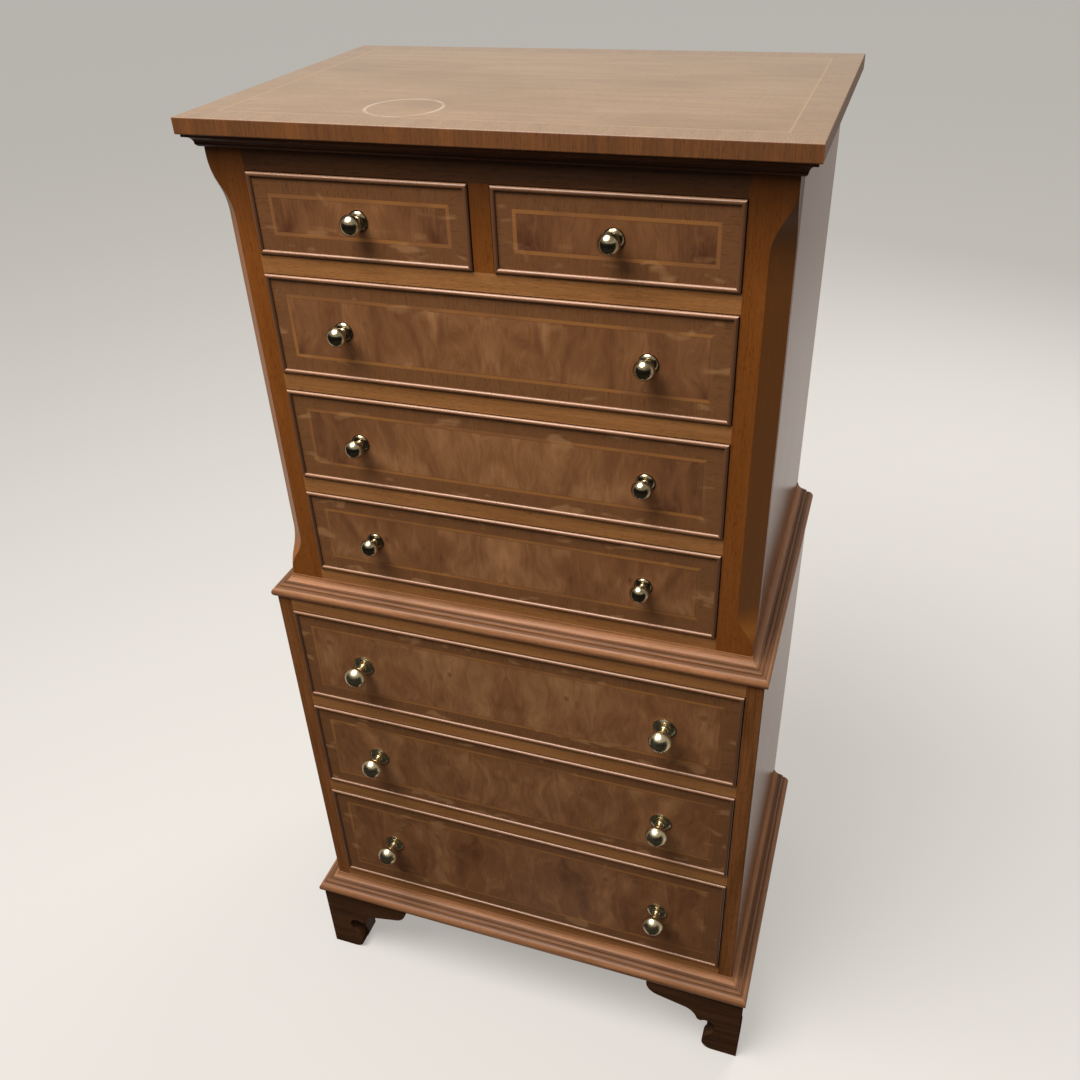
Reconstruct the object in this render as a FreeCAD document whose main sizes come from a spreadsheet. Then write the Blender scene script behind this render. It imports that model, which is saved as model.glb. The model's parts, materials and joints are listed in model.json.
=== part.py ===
import FreeCAD, Part
import math
import os

import Sketcher

# Chest on chest in walnut, free standing. Millimetres, X to the right, the front faces -Y, Z up.
# The origin is on the floor, under the middle of the whole piece.
#
# The driving sizes are the cells of the sheet Sizes. Heights and planes that several pieces share are
# worked out from them in the sheet Places. Every piece is bound to those two sheets.

doc = FreeCAD.newDocument("ChestOnChest")

SIZES = {
    # cases
    "upper_width": 534,            # across the sides of the upper case
    "upper_depth": 359,            # from its front face to its back
    "case_step": 17,               # the lower case is wider by this on each side and deeper in front
    "side_thickness": 18,
    "side_arris": 1.5,             # rounding of the lower case's front corners
    "back_thickness": 6,
    "back_rebate": 9,              # how far the back panel lies over each side board
    "back_play": 0.5,              # play of the back panel in its rebates
    "top_thickness": 15,
    "top_overhang": 16.5,
    "top_arris": 1.2,              # rounding of the top board's edges
    "lower_top_thickness": 18,
    "bottom_thickness": 9,
    "upper_plinth": 38,            # from the foot of the upper case to its lowest drawer
    "lower_plinth": 41,
    "frieze_height": 32.5,
    "frieze_thickness": 18,
    # posts, rails and runners
    "post_width": 38.2,
    "post_depth": 32,
    "chamfer": 19,                 # legs of the canted corner
    "tongue_length": 60,           # lamb's tongue at the top of the chamfer
    "lower_tongue_length": 54,
    "tongue_margin": 6,            # square corner left between tongue and cornice
    "lower_tongue_margin": 2,
    "divider_width": 19,
    "rail_thickness": 18,
    "rail_depth": 60,
    "batten_width": 30,
    "runner_width": 42,
    "guide_height": 30,
    "guide_play": 0.5,
    "stop_height": 5,
    "stop_length": 30,
    "stop_depth": 20,
    "stop_inset": 45,
    "stop_play": 0.3,
    # drawer openings
    "short_opening": 78,
    "upper_opening": 104.5,
    "lower_opening_top": 133,
    "lower_opening_middle": 135,
    "lower_opening_bottom": 163,
    # drawers
    "drawer_gap": 0.75,            # round the cock bead
    "runner_play": 0.3,            # under the drawer sides
    "drawer_back_room": 12,        # between drawer and back panel
    "front_thickness": 19,
    "bead_thickness": 4.5,
    "bead_proud": 2.5,
    "bead_rebate": 7.5,
    "bead_rounding": 2.2,
    "drawer_side": 9,
    "drawer_back": 8,
    "side_drop": 8,                # drawer sides end this far below the opening
    "back_drop": 4,                # the drawer's back ends this far below its sides
    "floor_thickness": 4,
    "floor_height": 8,             # drawer floor above the runners
    "groove_depth": 4,
    "tail_length": 9.5,
    "tail_pitch": 30,
    "tail_flare": 1.5,
    # knobs, larger on the lower case
    "knob_inset": 77.7,            # from the side of a long upper opening to its knob
    "knob_reach": 24,
    "rose_radius": 9.6,
    "neck_radius": 3.5,
    "neck_length": 6.7,
    "head_radius": 10.3,
    "lower_knob_inset": 83.3,
    "lower_knob_reach": 33.5,
    "lower_rose_radius": 13,
    "lower_neck_radius": 4.2,
    "lower_neck_length": 10.3,
    "lower_head_radius": 13.2,
    "rose_height": 3.4,
    "rose_rim": 1.2,
    "rose_step": 0.9,              # flat between the rim and the foot of the rose's dome
    "rose_bead": 1.2,              # ring where the neck stands on the rose
    "head_collar": 2.2,            # flare from the neck to the underside of the head
    "head_girth_drop": 1,          # widest part of the head, below the middle of its height
    "bolt_radius": 2,
    "bolt_depth": 9,
    "bolt_play": 0.2,
    "bolt_head_radius": 4,
    "bolt_head_height": 2.2,
    # cornice: a small round below, a hollow and a square edge under the top
    "cornice_height": 13,
    "cornice_reach": 13.2,
    "cornice_edge": 2.8,
    "cornice_foot": 1.2,
    "cornice_round": 4.4,          # depth of the small round
    "cornice_round_height": 3,
    "cornice_quirk": 0.6,          # step between round and hollow
    "cornice_round_rise": 0.8,     # a rise is how far a bent side stands off its own chord
    # waist and base mouldings: a round band, a raked reed, a fillet and a cove up to the case
    "waist_height": 23,
    "waist_reach": 21.3,
    "waist_band_radius": 6.55,
    "waist_band_lead": 4.2,        # lower edge of the band, in front of its axis
    "waist_band_lag": 1.9,         # upper edge of the band, behind its axis
    "waist_reed_depth": 3.8,
    "waist_reed_height": 2.8,
    "base_height": 26.5,
    "base_reach": 23,
    "base_band_radius": 8.2,
    "base_band_lead": 4.4,
    "base_band_lag": 0.4,
    "base_reed_depth": 4.4,
    "base_reed_height": 3.5,
    "reed_rise": 1.4,
    "fillet_height": 0.9,
    "fillet_set": 0.35,
    "cove_rise": 2,
    "moulding_lip": 0.8,           # thickness at the upper edge
    "lip_height": 0.5,
    # feet, as distances from the outer corner and heights
    "foot_height": 118,
    "foot_reach": 18,              # bracket face in front of the lower case
    "foot_length": 126,
    "foot_thickness": 18,
    "toe_flat": 33,                # where the toe leaves the floor
    "toe_width": 47.5,
    "toe_height": 15,
    "toe_rise": 4.2,
    "ankle_rise": 1.5,
    "throat_width": 32.5,          # narrowest part of the foot
    "throat_height": 48,
    "hollow_rise": 8.6,
    "cusp_width": 51,
    "cusp_height": 60,
    "nose_width": 57,
    "nose_height": 65,
    "nose_rise": 1.4,
    "scroll_width": 71,
    "scroll_height": 80.5,
    "scroll_rise": 2.1,
    "wing_width": 111,
    "wing_height": 90.5,
    "wing_rise": 4.1,
    "wing_end": 8,                 # depth of the bracket's tip under the moulding
    "rear_bracket_length": 95,
    "block_width": 26,
    "block_lift": 2,
    # screws
    "screw_radius": 2,
    "screw_head_radius": 4,
    "screw_head_height": 2.5,
    "top_screw_length": 27,
    "case_screw_length": 27,
    "screw_inset": 60,
}


class Size:
    """A length: its value in mm and the expression that FreeCAD works it out from."""

    def __init__(self, value, text):
        self.value, self.text = value, text

    def __add__(self, other):
        return combine(self, "+", other)

    def __radd__(self, other):
        return combine(other, "+", self)

    def __sub__(self, other):
        return combine(self, "-", other)

    def __rsub__(self, other):
        return combine(other, "-", self)

    def __mul__(self, other):
        return combine(self, "*", other)

    def __rmul__(self, other):
        return combine(other, "*", self)

    def __truediv__(self, other):
        return combine(self, "/", other)

    def __neg__(self):
        return combine(0, "-", self)


def as_size(length):
    return length if isinstance(length, Size) else Size(float(length), f"{float(length):g}")


def combine(left, sign, right):
    left, right = as_size(left), as_size(right)
    value = {
        "+": left.value + right.value,
        "-": left.value - right.value,
        "*": left.value * right.value,
        "/": left.value / (right.value or 1),
    }[sign]
    return Size(value, f"({left.text} {sign} {right.text})")


class Sheet:
    """A spreadsheet whose named cells are read as attributes."""

    def __init__(self, name):
        self.cells = doc.addObject("Spreadsheet::Sheet", name)
        self.rows = 0

    def put(self, alias, value, content):
        self.rows += 1
        self.cells.set(f"A{self.rows}", alias)
        self.cells.set(f"B{self.rows}", content)
        self.cells.setAlias(f"B{self.rows}", alias)
        size = Size(value, f"{self.cells.Name}.{alias}")
        setattr(self, alias, size)
        return size


S = Sheet("Sizes")
for alias, number in SIZES.items():
    S.put(alias, float(number), str(number))

P = Sheet("Places")


def place(alias, size):
    """Keep a shared height, plane or width in the sheet Places."""
    return P.put(alias, size.value, f"={size.text}")


# Shared planes. Y: the back is one plane for both cases, and the knobs of the lower case reach furthest.
back = place("back", (S.upper_depth + S.case_step + S.lower_knob_reach) / 2)
upper_front = place("upper_front", back - S.upper_depth)
lower_front = place("lower_front", upper_front - S.case_step)
inner_back = place("inner_back", back - S.back_thickness)

# X: half widths.
upper_half = place("upper_half", S.upper_width / 2)
lower_half = place("lower_half", upper_half + S.case_step)
upper_inner = place("upper_inner", upper_half - S.side_thickness)
lower_inner = place("lower_inner", lower_half - S.side_thickness)
upper_clear = place("upper_clear", upper_half - S.post_width)

# Z: the cases and the underside of each drawer opening.
lower_foot = place("lower_foot", S.foot_height)
bottom_3 = place("lower_bottom_sill", lower_foot + S.lower_plinth)
bottom_2 = place("lower_middle_sill", bottom_3 + S.lower_opening_bottom + S.rail_thickness)
bottom_1 = place("lower_top_sill", bottom_2 + S.lower_opening_middle + S.rail_thickness)
waist = place("waist", bottom_1 + S.lower_opening_top + S.lower_top_thickness)
long_3 = place("upper_bottom_sill", waist + S.upper_plinth)
long_2 = place("upper_middle_sill", long_3 + S.upper_opening + S.rail_thickness)
long_1 = place("upper_top_sill", long_2 + S.upper_opening + S.rail_thickness)
short_sill = place("short_sill", long_1 + S.upper_opening + S.rail_thickness)
frieze_foot = place("frieze_foot", short_sill + S.short_opening)
top_foot = place("top_foot", frieze_foot + S.frieze_height)

doc.recompute()


# ---- helpers -------------------------------------------------------------------------------------

def bind(thing, name, length):
    thing.setExpression(name, as_size(length).text)


def put_at(thing, x=0, y=0, z=0):
    for axis, length in zip("xyz", (x, y, z)):
        bind(thing, f"Placement.Base.{axis}", length)
    return thing


def board(name, x, y, z):
    """A plain board between two planes along each axis, given as (from, to) pairs."""
    box = doc.addObject("Part::Box", name)
    for side, (start, end) in zip(("Length", "Width", "Height"), (x, y, z)):
        bind(box, side, as_size(end) - start)
    return put_at(box, x[0], y[0], z[0])


def new_body(name):
    return doc.addObject("PartDesign::Body", name)


def root(size):
    return Size(math.sqrt(size.value), f"sqrt({size.text})")


def over_chord(start, end, rise):
    """Radius of the arc between two corners that stands off its chord by this rise."""
    width, height = end[0] - start[0], end[1] - start[1]
    return (width * width + height * height) / (8 * rise) + rise / 2


def risen(*corners):
    """Corners whose third figure is a rise, turned into corners for outline()."""
    return [(*corner[:2], over_chord(corner, after, corner[2])) if len(corner) == 3 else corner
            for corner, after in zip(corners, corners[1:] + corners[:1])]


def bent(start, end, radius):
    """The arc from start to end. A positive radius bulges it to the right of that way."""
    chord = end - start
    height = math.sqrt(max(radius * radius - chord.Length ** 2 / 4, 0))
    right = FreeCAD.Vector(chord.y, -chord.x, 0).normalize()
    depth = abs(radius) - height
    middle = (start + end) / 2 + right * math.copysign(depth, radius)
    return Part.Arc(start, middle, end)


def outline(body, name, plane, *loops):
    """A sketch of closed loops. Each corner is (u, v), held by two dimensions, and (u, v, radius) bends
    the side that leaves it. A positive radius bulges to the right of the way round."""
    sketch = body.newObject("Sketcher::SketchObject", name)
    support = [part for part in body.Origin.OriginFeatures if part.Role == plane][0]
    sketch.AttachmentSupport = [(support, "")]
    sketch.MapMode = "FlatFace"
    for corners in loops:
        first = sketch.GeometryCount
        corners = [tuple(as_size(length) for length in corner) for corner in corners]
        points = [FreeCAD.Vector(corner[0].value, corner[1].value, 0) for corner in corners]
        for index, corner in enumerate(corners):
            start, end = points[index], points[(index + 1) % len(points)]
            edge = bent(start, end, corner[2].value) if len(corner) == 3 else Part.LineSegment(start, end)
            sketch.addGeometry(edge, False)
        for index, corner in enumerate(corners):
            edge, following = first + index, first + (index + 1) % len(points)
            begins = 1 if sketch.getPoint(edge, 1).isEqual(points[index], 1e-6) else 2
            after = points[(index + 1) % len(points)]
            next_begins = 1 if sketch.getPoint(following, 1).isEqual(after, 1e-6) else 2
            sketch.addConstraint(Sketcher.Constraint("Coincident", edge, 3 - begins, following, next_begins))
            for kind, length in zip(("DistanceX", "DistanceY"), corner):
                number = sketch.addConstraint(
                    Sketcher.Constraint(kind, -1, 1, edge, begins, length.value))
                sketch.setExpression(f"Constraints[{number}]", length.text)
            if len(corner) == 3:
                radius = corner[2] if corner[2].value > 0 else -corner[2]
                number = sketch.addConstraint(Sketcher.Constraint("Radius", edge, radius.value))
                sketch.setExpression(f"Constraints[{number}]", radius.text)
    return sketch


def rectangle(x, y):
    """The corners of a rectangle from two (from, to) pairs."""
    return [(x[0], y[0]), (x[1], y[0]), (x[1], y[1]), (x[0], y[1])]


def pad(body, sketch, length, side="One side", reverse=False):
    feature = body.newObject("PartDesign::Pad", f"{body.Name}_pad")
    feature.Profile = sketch
    bind(feature, "Length", length)
    feature.SideType = side
    feature.Reversed = reverse
    return feature


def cut_through(body, sketch):
    """Cut the sketch's loops right through the body, both ways from the sketch."""
    feature = body.newObject("PartDesign::Pocket", f"{body.Name}_cut")
    feature.Profile = sketch
    feature.Type = "ThroughAll"
    feature.SideType = "Symmetric"
    return feature


def round_edges(body, feature, radius, wanted):
    """Fillet the edges of the feature's solid for which wanted(edge) is true."""
    doc.recompute()
    names = [f"Edge{n}" for n, edge in enumerate(feature.Shape.Edges, 1) if wanted(edge)]
    fillet = body.newObject("PartDesign::Fillet", f"{body.Name}_fillet")
    fillet.Base = (feature, names)
    bind(fillet, "Radius", radius)
    return fillet


def mirrored(thing, name):
    """The piece's twin on the other side of the chest."""
    twin = doc.addObject("Part::Mirroring", name)
    twin.Source = thing
    twin.Normal = (1, 0, 0)
    return twin


def group(name, pieces):
    compound = doc.addObject("Part::Compound", name)
    compound.Links = pieces
    return compound


def cut(name, base, tools):
    result = doc.addObject("Part::Cut", name)
    result.Base = base
    result.Tool = tools[0] if len(tools) == 1 else group(f"{name}_tools", tools)
    return result


NODES = []


def node(thing, name):
    """Name a finished sub-part: its label is the name of its file."""
    thing.Label = name
    NODES.append(thing)
    return thing


def both(low, high):
    """The same stretch of X on the left and on the right."""
    return ((low, high), (-as_size(high), -as_size(low)))


# ---- boards of the cases -------------------------------------------------------------------------

def side_board(name, half, front, foot, head, arris=None):
    """The right side board: the back panel lies in a rebate of its inner back edge."""
    body = new_body(name)
    inner = half - S.side_thickness
    plan = outline(body, f"{name}_plan", "XY_Plane", [
        (inner, front), (half, front), (half, back), (inner + S.back_rebate, back),
        (inner + S.back_rebate, inner_back), (inner, inner_back)])
    slab = pad(body, plan, head - foot)

    def front_corner(edge):
        box = edge.BoundBox
        return box.ZLength > 1 and box.XMin > half.value - 0.01 and box.YMax < front.value + 0.01

    if arris:
        round_edges(body, slab, arris, front_corner)
    return put_at(body, z=foot)


def back_panel(name, inner, foot, head):
    half = inner + S.back_rebate - S.back_play
    return board(name, (-half, half), (inner_back, back), (foot, head))


upper_side_right = side_board("upper_side_right", upper_half, upper_front + S.post_depth, waist, top_foot)
lower_side_right = side_board("lower_side_right", lower_half, lower_front, lower_foot, waist, S.side_arris)
node(upper_side_right, "upper_side_right")
node(mirrored(upper_side_right, "upper_side_left"), "upper_side_left")
node(lower_side_right, "lower_side_right")
node(mirrored(lower_side_right, "lower_side_left"), "lower_side_left")
node(back_panel("upper_back_panel", upper_inner, waist, top_foot), "upper_back_panel")
node(back_panel("lower_back_panel", lower_inner, lower_foot, waist), "lower_back_panel")


def top_board():
    body = new_body("top_board_body")
    half = upper_half + S.top_overhang
    front_edge = upper_front - S.top_overhang
    plan = outline(body, "top_plan", "XY_Plane", rectangle((-half, half), (front_edge, back)))
    slab = pad(body, plan, S.top_thickness)

    def front_or_side_arris(edge):
        box = edge.BoundBox
        return box.ZLength < 0.01 and box.YMin < back.value - 1

    round_edges(body, slab, S.top_arris, front_or_side_arris)
    return put_at(body, z=top_foot)


# Screws: a countersunk head below and a shank upwards.
def screw(name, x, y, z, length):
    body = new_body(name)
    section = outline(body, f"{name}_section", "XZ_Plane", [
        (0, 0), (S.screw_head_radius, 0), (S.screw_radius, S.screw_head_height),
        (S.screw_radius, length - S.screw_radius), (0, length)])
    turned = body.newObject("PartDesign::Revolution", f"{name}_turned")
    turned.Profile = section
    turned.ReferenceAxis = (section, ["V_Axis"])
    return put_at(body, x, y, z)


top_rail_foot = top_foot - S.rail_thickness
front_top_rail = (upper_front + S.post_depth, upper_front + S.post_depth + S.rail_depth)
back_top_rail = (inner_back - S.rail_depth, inner_back)
top_screws = group("top_screws", [
    screw(f"top_screw_{row}_{column}", side * (upper_inner - S.screw_inset), (rail[0] + rail[1]) / 2,
          top_rail_foot, S.top_screw_length)
    for row, rail in enumerate((front_top_rail, back_top_rail)) for column, side in enumerate((-1, 0, 1))])

batten_y = (upper_front + S.post_depth, inner_back)
batten_head = long_3 - S.rail_thickness - S.bottom_thickness
case_screws = group("joining_screws", [
    screw(f"case_screw_{row}_{column}", side * (upper_inner - S.batten_width / 2), where,
          waist - S.lower_top_thickness, S.case_screw_length)
    for row, where in enumerate((batten_y[0] + S.screw_inset, batten_y[1] - S.screw_inset))
    for column, side in enumerate((-1, 1))])

node(cut("top_board_drilled", top_board(), [top_screws]), "top_board")
node(group("case_screws_all", [top_screws, case_screws]), "case_screws")

top_rails = [board(f"top_rail_{n}", (-upper_inner, upper_inner), rail, (top_rail_foot, top_foot))
             for n, rail in enumerate((front_top_rail, back_top_rail), 1)]
node(cut("top_rails_drilled", group("top_rails_plain", top_rails), [top_screws]), "upper_top_rails")

lower_top = board("lower_top_plain", (-lower_inner, lower_inner), (lower_front, inner_back),
                  (waist - S.lower_top_thickness, waist))
node(cut("lower_top_drilled", lower_top, [case_screws]), "lower_top_board")


def bottom_board(name, inner, front, sill):
    head = sill - S.rail_thickness
    return board(name, (-inner, inner), (front, inner_back), (head - S.bottom_thickness, head))


node(bottom_board("upper_bottom", upper_inner, upper_front + S.post_depth, long_3), "upper_bottom_board")
node(bottom_board("lower_bottom", lower_inner, lower_front + S.frieze_thickness, bottom_3),
     "lower_bottom_board")


# ---- front framing -------------------------------------------------------------------------------

def rail(name, clear, front, sill):
    """The rail whose upper face is the sill of a drawer opening."""
    return board(name, (-clear, clear), (front, front + S.rail_depth), (sill - S.rail_thickness, sill))


frieze = board("frieze", (-upper_clear, upper_clear), (upper_front, upper_front + S.frieze_thickness),
               (frieze_foot, top_foot))
upper_rails = [rail(f"upper_rail_{n}", upper_clear, upper_front, sill)
               for n, sill in enumerate((short_sill, long_1, long_2, long_3), 1)]
lower_rails = [rail(f"lower_rail_{n}", lower_inner, lower_front, sill)
               for n, sill in enumerate((bottom_1, bottom_2, bottom_3), 1)]
node(group("upper_front_rails", [frieze] + upper_rails), "upper_front_rails")
node(group("lower_front_rails", lower_rails), "lower_front_rails")
node(board("divider", (-S.divider_width / 2, S.divider_width / 2),
           (upper_front, upper_front + S.rail_depth), (short_sill, frieze_foot)), "short_drawer_divider")


def canted_post():
    """The right corner post. Its chamfer runs out into a lamb's tongue at both ends."""
    blank = new_body("post_blank")
    plan = outline(blank, "post_plan", "XY_Plane",
                   rectangle((upper_clear, upper_half), (upper_front, upper_front + S.post_depth)))
    pad(blank, plan, top_foot - waist)
    put_at(blank, z=waist)

    # The cutter is drawn side on, as the chamfer's depth against height, and stands on the diagonal.
    depth = S.chamfer / math.sqrt(2)
    room = S.chamfer
    low = S.waist_height + S.lower_tongue_margin
    high = top_foot - waist - S.cornice_height - S.tongue_margin
    low_bend = (S.lower_tongue_length * S.lower_tongue_length / depth + depth) / 4
    high_bend = (S.tongue_length * S.tongue_length / depth + depth) / 4
    cutter = new_body("chamfer_cutter")
    side = outline(cutter, "chamfer_side", "XZ_Plane", [
        (room, low), (0, low, low_bend),
        (-depth / 2, low + S.lower_tongue_length / 2, -low_bend),
        (-depth, low + S.lower_tongue_length),
        (-depth, high - S.tongue_length, -high_bend),
        (-depth / 2, high - S.tongue_length / 2, high_bend),
        (0, high), (room, high)])
    pad(cutter, side, 4 * S.chamfer, "Symmetric")
    cutter.Placement.Rotation = FreeCAD.Rotation(FreeCAD.Vector(0, 0, 1), -45)
    put_at(cutter, upper_half, upper_front, waist)
    return cut("canted_post_cut", blank, [cutter])


post = canted_post()
node(post, "canted_post_right")
node(mirrored(post, "canted_post_twin"), "canted_post_left")


# ---- runners, guides, stops and battens ----------------------------------------------------------

def runners(label, front, inner, sills, clear):
    """Under each drawer a pair of runners, guides beside it where the case is wider, and stops."""
    pieces = []
    behind = (front + S.rail_depth, inner_back)
    for level, sill in enumerate(sills, 1):
        under = (sill - S.rail_thickness, sill)
        above = (sill, sill + S.guide_height)
        for hand, x in zip("rl", both(inner - S.runner_width, inner)):
            pieces.append(board(f"{label}_runner_{level}{hand}", x, behind, under))
        if clear is not inner:
            for hand, x in zip("rl", both(clear + S.guide_play, inner)):
                pieces.append(board(f"{label}_guide_{level}{hand}", x, behind, above))
    return pieces


def stops(label, front, sill, centre, clear):
    """Two blocks on the rail, behind the drawer's front."""
    start = front + S.front_thickness + S.stop_play
    return [board(f"{label}_stop_{hand}", (centre + x[0], centre + x[1]), (start, start + S.stop_depth),
                  (sill, sill + S.stop_height))
            for hand, x in zip("rl", both(clear - S.stop_inset - S.stop_length, clear - S.stop_inset))]


short_half = (upper_clear - S.divider_width / 2) / 2
short_centre = S.divider_width / 2 + short_half
behind_rail = (upper_front + S.rail_depth, inner_back)
middle_runner = board("middle_runner", (-S.runner_width / 2, S.runner_width / 2), behind_rail,
                      (short_sill - S.rail_thickness, short_sill))
middle_guide_half = S.divider_width / 2 - S.guide_play
middle_guide = board("middle_guide", (-middle_guide_half, middle_guide_half), behind_rail,
                     (short_sill, short_sill + S.guide_height))

upper_pieces = runners("upper", upper_front, upper_inner, (short_sill, long_1, long_2, long_3), upper_clear)
for level, sill in enumerate((long_1, long_2, long_3), 1):
    upper_pieces += stops(f"upper_{level}", upper_front, sill, 0, upper_clear)
for hand, side in (("r", 1), ("l", -1)):
    upper_pieces += stops(f"short_{hand}", upper_front, short_sill, side * short_centre, short_half)
node(group("upper_runner_group", upper_pieces + [middle_runner, middle_guide]), "upper_runners_and_stops")

lower_pieces = runners("lower", lower_front, lower_inner, (bottom_1, bottom_2, bottom_3), lower_inner)
for level, sill in enumerate((bottom_1, bottom_2, bottom_3), 1):
    lower_pieces += stops(f"lower_{level}", lower_front, sill, 0, lower_inner)
node(group("lower_runner_group", lower_pieces), "lower_runners_and_stops")


def battens(label, front, inner, foot, head, clear):
    """Under a bottom board: one batten behind the moulding in front, one along each side."""
    ends = board(f"{label}_front_batten", (-clear, clear), (front, front + S.frieze_thickness),
                 (foot, head + S.bottom_thickness))
    sides = [board(f"{label}_side_batten_{hand}", x, (front + S.post_depth, inner_back), (foot, head))
             for hand, x in zip("rl", both(inner - S.batten_width, inner))]
    return [ends] + sides


upper_battens = battens("upper", upper_front, upper_inner, waist, batten_head, upper_clear)
lower_battens = battens("lower", lower_front, lower_inner, lower_foot,
                        bottom_3 - S.rail_thickness - S.bottom_thickness, lower_inner)
node(cut("battens_drilled", group("battens_plain", upper_battens + lower_battens), [case_screws]),
     "bottom_battens")


# ---- mouldings -----------------------------------------------------------------------------------

def moulding(label, half, front, foot, reach, section):
    """Front length and two returns, mitred at the corners. The section is a list of corners
    (distance from the case, height[, radius]) whose order runs up the outside."""
    over = reach + 1
    length = new_body(f"{label}_front")
    profile = outline(length, f"{label}_front_section", "YZ_Plane", [
        (front - corner[0], corner[1], *[-bend for bend in corner[2:]]) for corner in section])
    pad(length, profile, 2 * (half + reach), "Symmetric")
    mitres = outline(length, f"{label}_front_mitres", "XY_Plane",
                     [(half, front), (half + over, front - over), (half + over, front + over),
                      (half, front + over)],
                     [(-half, front), (-half, front + over), (-half - over, front + over),
                      (-half - over, front - over)])
    cut_through(length, mitres)
    put_at(length, z=foot)

    side = new_body(f"{label}_return")
    profile = outline(side, f"{label}_return_section", "XZ_Plane",
                      [(half + corner[0], *corner[1:]) for corner in section])
    pad(side, profile, back - front + reach, reverse=True)
    put_at(side, y=front - reach, z=foot)
    mitre = outline(side, f"{label}_return_mitre", "XY_Plane",
                    [(half, reach), (half - over, reach), (half - over, -over + reach),
                     (half + over, -over + reach)])
    cut_through(side, mitre)
    return group(f"{label}_lengths", [length, side, mirrored(side, f"{label}_return_left")])


def cornice_section():
    inner = S.cornice_foot + S.cornice_round
    quirk = S.cornice_round_height + S.cornice_quirk
    return risen(
        (0, 0), (S.cornice_foot, 0, S.cornice_round_rise), (inner, S.cornice_round_height),
        (inner, quirk, -S.cove_rise), (S.cornice_reach, S.cornice_height - S.cornice_edge),
        (S.cornice_reach, S.cornice_height), (0, S.cornice_height))


def banded_section(height, reach, radius, lead, lag, reed_depth, reed_height):
    """The band is drawn about its own axis, and its face is the moulding's reach."""
    axis = reach - radius
    crown = root(radius * radius - lead * lead) + root(radius * radius - lag * lag)
    shoulder, shoulder_height = axis - lag - reed_depth, crown + reed_height
    upper = risen(
        (axis - lag, crown, S.reed_rise), (shoulder, shoulder_height),
        (shoulder - S.fillet_set, shoulder_height + S.fillet_height, -S.cove_rise),
        (S.moulding_lip, height - S.lip_height), (S.moulding_lip, height), (0, height))
    return [(0, 0), (axis + lead, 0, radius)] + upper


node(moulding("cornice", upper_half, upper_front, top_foot - S.cornice_height, S.cornice_reach,
              cornice_section()), "cornice_moulding")
node(moulding("waist", upper_half, upper_front, waist, S.waist_reach, banded_section(
    S.waist_height, S.waist_reach, S.waist_band_radius, S.waist_band_lead, S.waist_band_lag,
    S.waist_reed_depth, S.waist_reed_height)), "waist_moulding")
node(moulding("base", lower_half, lower_front, lower_foot, S.base_reach, banded_section(
    S.base_height, S.base_reach, S.base_band_radius, S.base_band_lead, S.base_band_lag,
    S.base_reed_depth, S.base_reed_height)), "base_moulding")


# ---- feet ----------------------------------------------------------------------------------------

outer_x = lower_half + S.foot_reach
outer_front = lower_front - S.foot_reach


def bracket_side():
    """Outline of a bracket as (distance from the outer corner, height[, bend]): from the toe up the
    ankle, round the hollow to the cusp, and over the scroll and the wing to the moulding."""
    ankle = ((S.toe_width + S.throat_width) / 2, (S.toe_height + S.throat_height) / 2)
    return risen(
        (0, 0), (S.toe_flat, 0, S.toe_rise), (S.toe_width, S.toe_height, S.ankle_rise),
        (*ankle, -S.ankle_rise), (S.throat_width, S.throat_height, -S.hollow_rise),
        (S.cusp_width, S.cusp_height, S.nose_rise), (S.nose_width, S.nose_height, -S.scroll_rise),
        (S.scroll_width, S.scroll_height), (S.wing_width, S.wing_height, S.wing_rise),
        (S.foot_length, S.foot_height - S.wing_end), (S.foot_length, S.foot_height), (0, S.foot_height))


def front_bracket():
    """The right front bracket, mitred to the side one at the corner."""
    body = new_body("front_bracket")
    face = outline(body, "front_bracket_face", "XZ_Plane", [
        (outer_x - corner[0], corner[1], *[-bend for bend in corner[2:]])
        for corner in bracket_side()])
    pad(body, face, S.foot_thickness, reverse=True)
    over = S.foot_thickness + 1
    mitre = outline(body, "front_bracket_mitre", "XY_Plane",
                    [(outer_x, 0), (outer_x + over, 0), (outer_x + over, over), (outer_x - over, over)])
    cut_through(body, mitre)
    return put_at(body, y=outer_front)


def side_bracket():
    body = new_body("side_bracket")
    face = outline(body, "side_bracket_face", "YZ_Plane", bracket_side())
    pad(body, face, S.foot_thickness, reverse=True)
    over = S.foot_thickness + 1
    mitre = outline(body, "side_bracket_mitre", "XY_Plane",
                    [(0, 0), (-over, over), (-over, -over), (0, -over)])
    cut_through(body, mitre)
    return put_at(body, outer_x, outer_front)


def rear_side_bracket():
    body = new_body("rear_side_bracket")
    face = outline(body, "rear_side_bracket_face", "YZ_Plane", [
        (-corner[0], corner[1], *[-as_size(bend) for bend in corner[2:]])
        for corner in bracket_side()])
    pad(body, face, S.foot_thickness, reverse=True)
    return put_at(body, outer_x, back)


def rear_bracket():
    """The plain bracket across the back, cut away to a slope."""
    body = new_body("rear_bracket")
    inner = outer_x - S.foot_thickness
    face = outline(body, "rear_bracket_face", "XZ_Plane", [
        (inner - S.toe_width, 0), (inner, 0), (inner, S.foot_height),
        (inner - S.rear_bracket_length, S.foot_height), (inner - S.rear_bracket_length, S.scroll_height)])
    pad(body, face, S.foot_thickness)
    return put_at(body, y=back)


front_foot = group("front_foot", [front_bracket(), side_bracket()])
back_foot = group("back_foot", [rear_side_bracket(), rear_bracket()])
node(front_foot, "front_foot_right")
node(mirrored(front_foot, "front_foot_twin"), "front_foot_left")
node(back_foot, "back_foot_right")
node(mirrored(back_foot, "back_foot_twin"), "back_foot_left")

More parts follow.
